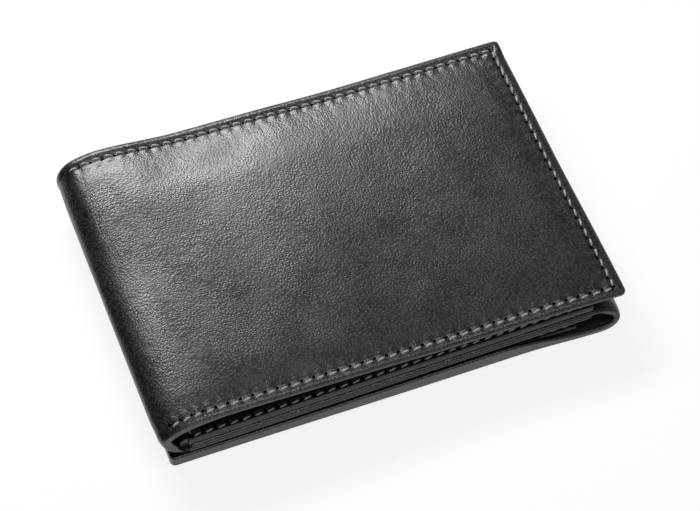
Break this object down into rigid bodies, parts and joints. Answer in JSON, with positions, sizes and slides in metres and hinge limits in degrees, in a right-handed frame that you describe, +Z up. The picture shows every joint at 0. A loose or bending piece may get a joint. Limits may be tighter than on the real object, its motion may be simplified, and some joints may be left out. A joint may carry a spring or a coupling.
{
  "type": "folding card holder",
  "caption": "Black leather card holder that folds like a letter Z, with rolled folds at both ends, turned and sewn edges, and stepped card pockets on its inner faces.",
  "frame": {"origin": "on the table under the middle of the folded holder", "axes": "+X along the panels from the left fold to the front panel's free edge, -Y the front edge nearest the viewer, +Z up through the folded panels"},
  "size_m": [0.105, 0.072, 0.0155],
  "materials": {
    "cover_leather": "smooth fine grain, half matt",
    "pocket_leather": "smooth fine grain, half matt",
    "lining_fabric": "matt woven lining",
    "stiffener_board": "matt"
  },
  "bodies": {
    "back_panel": {"back_cover_leather": "cover_leather", "back_stiffener": "stiffener_board", "back_lining": "lining_fabric", "back_pocket_rear": "pocket_leather", "back_pocket_centre": "pocket_leather", "back_pocket_front": "pocket_leather", "right_fold_leather": "cover_leather", "right_fold_lining": "lining_fabric"},
    "middle_panel": {"middle_lower_leather": "cover_leather", "middle_stiffener": "stiffener_board", "middle_upper_leather": "cover_leather", "middle_pocket_rear": "pocket_leather", "middle_pocket_centre": "pocket_leather", "middle_pocket_front": "pocket_leather", "left_fold_leather": "cover_leather", "left_fold_lining": "lining_fabric"},
    "front_panel": {"front_cover_leather": "cover_leather", "front_stiffener": "stiffener_board", "front_lining": "lining_fabric", "front_slip_pocket": "pocket_leather"}
  },
  "joints": [
    {"name": "right_fold", "type": "hinge", "parent": "back_panel", "child": "middle_panel", "pos_m": [0.0535, 0, 0.0064], "axis": [0, 1, 0], "range_deg": [0, 177], "deforming": ["right_fold_leather", "right_fold_lining"]},
    {"name": "left_fold", "type": "hinge", "parent": "middle_panel", "child": "front_panel", "pos_m": [-0.0535, 0, 0.00955], "axis": [0, -1, 0], "range_deg": [0, 180], "deforming": ["left_fold_leather", "left_fold_lining"]}
  ]
}
